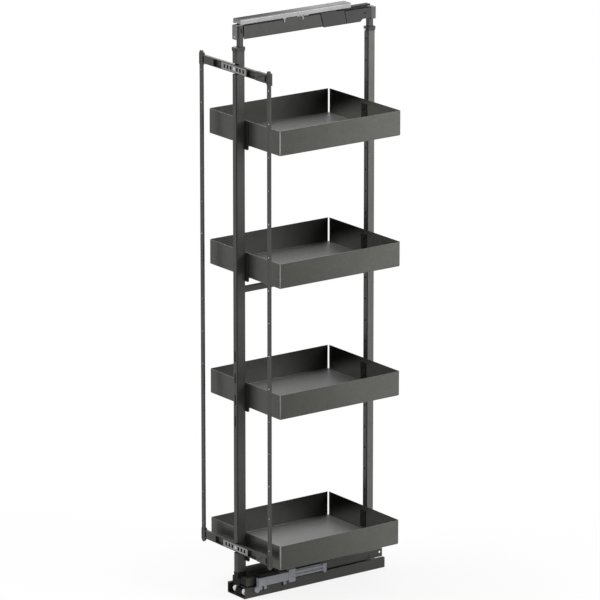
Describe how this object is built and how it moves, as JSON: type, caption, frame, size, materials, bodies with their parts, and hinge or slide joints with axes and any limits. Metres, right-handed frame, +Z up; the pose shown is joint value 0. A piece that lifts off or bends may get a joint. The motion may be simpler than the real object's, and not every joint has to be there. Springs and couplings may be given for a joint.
{
  "type": "pull out pantry frame",
  "caption": "Tall dark grey pull-out larder frame: open sheet-metal trays on two telescoping posts, floor runner with rollers and soft-close damper, ceiling rail and adjustable door bracket.",
  "frame": {"origin": "centre of the four floor screw holes, on the underside of the floor rail", "axes": "+X across the cabinet, to the right seen from the front; -Y towards the door, the way the frame pulls out; +Z up"},
  "size_m": [0.345, 0.5042, 1.696],
  "materials": {
    "dark_steel": "satin dark grey powder coat",
    "tray_steel": "satin anthracite powder coat",
    "holder_steel": "satin black powder coat",
    "rail_steel": "satin dark grey powder coat",
    "zinc": "bright zinc plate",
    "plate_zinc": "dull zinc plate",
    "bright_steel": "bright steel",
    "black_screw": "blackened steel",
    "white_nylon": "white nylon",
    "black_plastic": "black moulded plastic",
    "grey_plastic": "light grey moulded plastic",
    "cap_plastic": "mid grey moulded plastic",
    "dark_plastic": "dark grey moulded plastic",
    "buffer_rubber": "black rubber"
  },
  "bodies": {
    "cabinet": {"cabinet_rail": "rail_steel", "rail_roller_block": "black_plastic", "rail_front_axle": "bright_steel", "rail_end_stop": "buffer_rubber", "damper_housing": "grey_plastic", "damper_cylinder": "grey_plastic", "damper_end_lug": "grey_plastic"},
    "rail_rollers": {"rail_front_rollers": "white_nylon"},
    "damper_catch": {"damper_catch": "dark_plastic"},
    "middle_slide": {"middle_slide_profile": "rail_steel", "middle_rear_bracket": "rail_steel", "middle_rear_axle": "bright_steel", "middle_front_axle": "bright_steel"},
    "slide_rear_rollers": {"middle_rear_rollers": "white_nylon"},
    "slide_front_rollers": {"middle_front_rollers": "white_nylon"},
    "frame": {"runner_profile": "rail_steel", "runner_rear_axles": "black_screw", "runner_end_block": "black_plastic", "damper_activator": "black_plastic", "front_post_foot": "black_plastic", "rear_post_foot": "black_plastic", "bottom_beam": "dark_steel", "front_post": "dark_steel", "rear_post": "dark_steel", "middle_strut": "dark_steel", "front_collar": "dark_plastic", "rear_collar": "dark_plastic", "collar_screws": "bright_steel", "tray_1": "tray_steel", "tray_2": "tray_steel", "tray_3": "tray_steel", "tray_4": "tray_steel", "front_tray_holders": "holder_steel", "rear_tray_holders": "holder_steel", "tray_clamp_plates": "holder_steel", "tray_screws": "black_screw"},
    "runner_rollers": {"runner_rear_rollers": "white_nylon"},
    "panel_carrier": {"adjuster_plates": "plate_zinc", "adjuster_screws": "bright_steel"},
    "panel_bracket": {"upper_crossbar": "dark_steel", "lower_crossbar": "dark_steel", "left_door_bar": "dark_steel", "right_door_bar": "dark_steel", "door_bar_clips": "dark_plastic"},
    "head": {"front_inner_tube": "dark_steel", "rear_inner_tube": "dark_steel", "inner_tube_guides": "black_plastic", "head_beam": "dark_steel", "head_front_bracket": "plate_zinc", "head_mid_housing": "dark_plastic", "head_rear_housing": "dark_plastic", "head_end_cap": "cap_plastic", "head_guide_strip": "black_plastic", "strip_clips": "plate_zinc", "head_guide_pins": "bright_steel"},
    "head_front_roller": {"front_guide_roller": "white_nylon"},
    "head_rear_roller": {"rear_guide_roller": "white_nylon"},
    "ceiling_slide": {"ceiling_slide": "zinc"},
    "ceiling_rail": {"ceiling_rail": "zinc"}
  },
  "joints": [
    {"name": "pull_out", "type": "slide", "parent": "cabinet", "child": "frame", "axis": [0, -1, 0], "range_m": [0, 0.45]},
    {"name": "middle_slide_run", "type": "slide", "parent": "cabinet", "child": "middle_slide", "axis": [0, -1, 0], "range_m": [0, 0.225]},
    {"name": "rail_roller_spin", "type": "hinge", "parent": "cabinet", "child": "rail_rollers", "pos_m": [0, -0.232, 0.0145], "axis": [1, 0, 0], "continuous": true},
    {"name": "slide_rear_roller_spin", "type": "hinge", "parent": "middle_slide", "child": "slide_rear_rollers", "pos_m": [0, 0.15, 0.016], "axis": [1, 0, 0], "continuous": true},
    {"name": "slide_front_roller_spin", "type": "hinge", "parent": "middle_slide", "child": "slide_front_rollers", "pos_m": [0, -0.225, 0.0457], "axis": [1, 0, 0], "continuous": true},
    {"name": "runner_roller_spin", "type": "hinge", "parent": "frame", "child": "runner_rollers", "pos_m": [0, 0.2, 0.0406], "axis": [1, 0, 0], "continuous": true},
    {"name": "damper_catch_run", "type": "slide", "parent": "cabinet", "child": "damper_catch", "axis": [0, -1, 0], "range_m": [0, 0.04]},
    {"name": "head_height", "type": "slide", "parent": "frame", "child": "head", "axis": [0, 0, 1], "range_m": [-0.015, 0.25]},
    {"name": "head_front_roller_spin", "type": "hinge", "parent": "head", "child": "head_front_roller", "pos_m": [0, 0.055, 1.688], "axis": [0, 0, 1], "continuous": true},
    {"name": "head_rear_roller_spin", "type": "hinge", "parent": "head", "child": "head_rear_roller", "pos_m": [0, 0.11, 1.688], "axis": [0, 0, 1], "continuous": true},
    {"name": "ceiling_slide_run", "type": "slide", "parent": "head", "child": "ceiling_slide", "axis": [0, 1, 0], "range_m": [0, 0.225]},
    {"name": "ceiling_rail_run", "type": "slide", "parent": "head", "child": "ceiling_rail", "axis": [0, 1, 0], "range_m": [0, 0.45]},
    {"name": "panel_height", "type": "slide", "parent": "frame", "child": "panel_carrier", "axis": [0, 0, 1], "range_m": [-0.003, 0.003]},
    {"name": "panel_side", "type": "slide", "parent": "panel_carrier", "child": "panel_bracket", "axis": [1, 0, 0], "range_m": [-0.004, 0.004]}
  ],
  "couplings": [
    {"joint": "middle_slide_run", "follows": "pull_out", "ratio": 0.5},
    {"joint": "rail_roller_spin", "follows": "pull_out", "rad_per_m": 43.478},
    {"joint": "slide_rear_roller_spin", "follows": "pull_out", "rad_per_m": -36.496},
    {"joint": "slide_front_roller_spin", "follows": "pull_out", "rad_per_m": 41.667},
    {"joint": "runner_roller_spin", "follows": "pull_out", "rad_per_m": -43.478},
    {"joint": "damper_catch_run", "follows": "pull_out", "ratio": 0.0888},
    {"joint": "head_front_roller_spin", "follows": "pull_out", "rad_per_m": 34.722},
    {"joint": "head_rear_roller_spin", "follows": "pull_out", "rad_per_m": -34.722},
    {"joint": "ceiling_slide_run", "follows": "pull_out", "ratio": 0.5},
    {"joint": "ceiling_rail_run", "follows": "pull_out", "ratio": 1}
  ]
}
